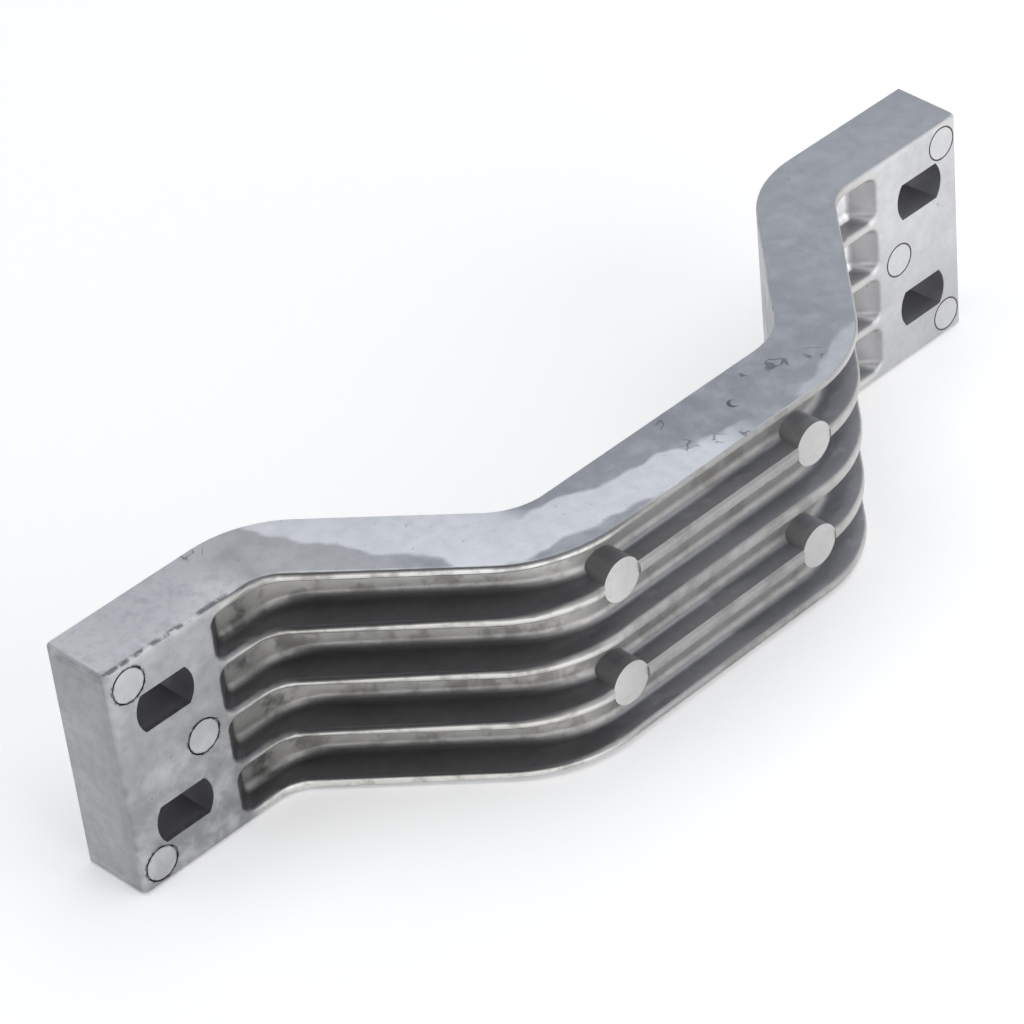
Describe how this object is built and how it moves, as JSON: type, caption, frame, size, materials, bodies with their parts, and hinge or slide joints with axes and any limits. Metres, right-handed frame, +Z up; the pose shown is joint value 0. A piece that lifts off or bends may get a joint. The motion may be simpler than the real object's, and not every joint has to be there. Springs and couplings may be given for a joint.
{
  "type": "sacrificial anode",
  "caption": "Hat-shaped cast bar anode with slotted bolting feet at both ends and a ribbed, grooved front, sacrificed to protect an outboard or sterndrive bracket from corrosion.",
  "frame": {"origin": "on the mounting plane behind the feet, midway between the four slots", "axes": "+X along the bar, +Y back towards what the feet bolt to, +Z up across the width of the bar"},
  "size_m": [0.2204, 0.0531, 0.0502],
  "materials": {
    "as_cast_metal": "as cast, satin"
  },
  "bodies": {
    "root": {"anode_casting": "as_cast_metal"}
  },
  "joints": []
}
